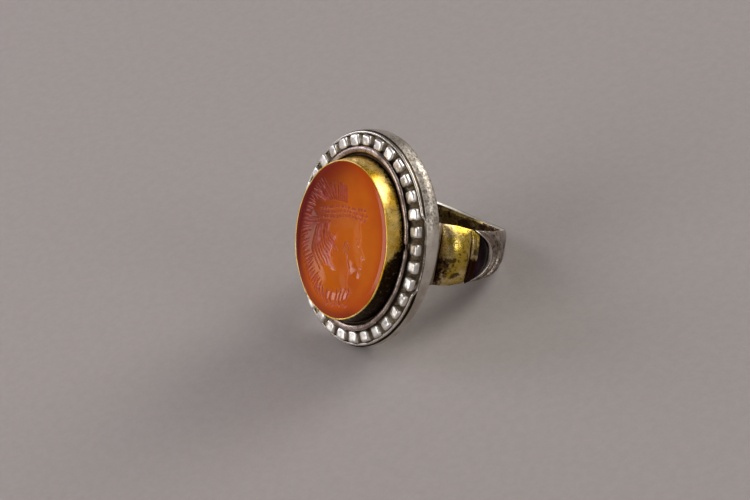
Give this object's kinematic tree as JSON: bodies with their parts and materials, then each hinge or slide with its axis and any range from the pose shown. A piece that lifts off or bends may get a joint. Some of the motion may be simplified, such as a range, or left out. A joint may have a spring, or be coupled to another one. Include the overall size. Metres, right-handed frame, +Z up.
{
  "type": "signet ring",
  "caption": "Signet ring with an engraved oval carnelian in a gold collet on a beaded oval silver bezel, gilt bulbous shoulders and a tapering hoop.",
  "frame": {"origin": "on the table under the middle of the ring's box, with the ring lying as it rests by itself", "axes": "+Z up; X across the finger; the bezel faces -Y and leans back, so that the lower tip of the bezel and the lower edge of the hoop's back touch the table"},
  "size_m": [0.0238, 0.027, 0.0241],
  "materials": {
    "carnelian": "polished, with a matte engraved figure",
    "gold": "worn polish",
    "gilt_silver": "worn gilding over silver",
    "silver": "satin, tarnished in the hollows",
    "oxidised_silver": "polished, darkened",
    "mastic": "matte"
  },
  "bodies": {
    "root": {"gem": "carnelian", "gem_bearing": "gold", "gem_bedding": "mastic", "collet": "gold", "face_plate": "silver", "inner_wire": "silver", "bead_row": "silver", "rim_moulding": "silver", "outer_wire": "silver", "bezel_core": "mastic", "back_plate": "silver", "hoop_lining": "gilt_silver", "hoop_band": "silver", "shoulder_bridge_right": "silver", "shoulder_bridge_left": "silver", "shoulder_collar_right": "gilt_silver", "shoulder_collar_left": "gilt_silver", "shoulder_bulb_right": "gilt_silver", "shoulder_bulb_left": "gilt_silver", "shoulder_strip_right": "gilt_silver", "shoulder_strip_left": "gilt_silver", "shoulder_waist_right": "oxidised_silver", "shoulder_waist_left": "oxidised_silver", "shoulder_ridge_right": "silver", "shoulder_ridge_left": "silver"}
  },
  "joints": []
}
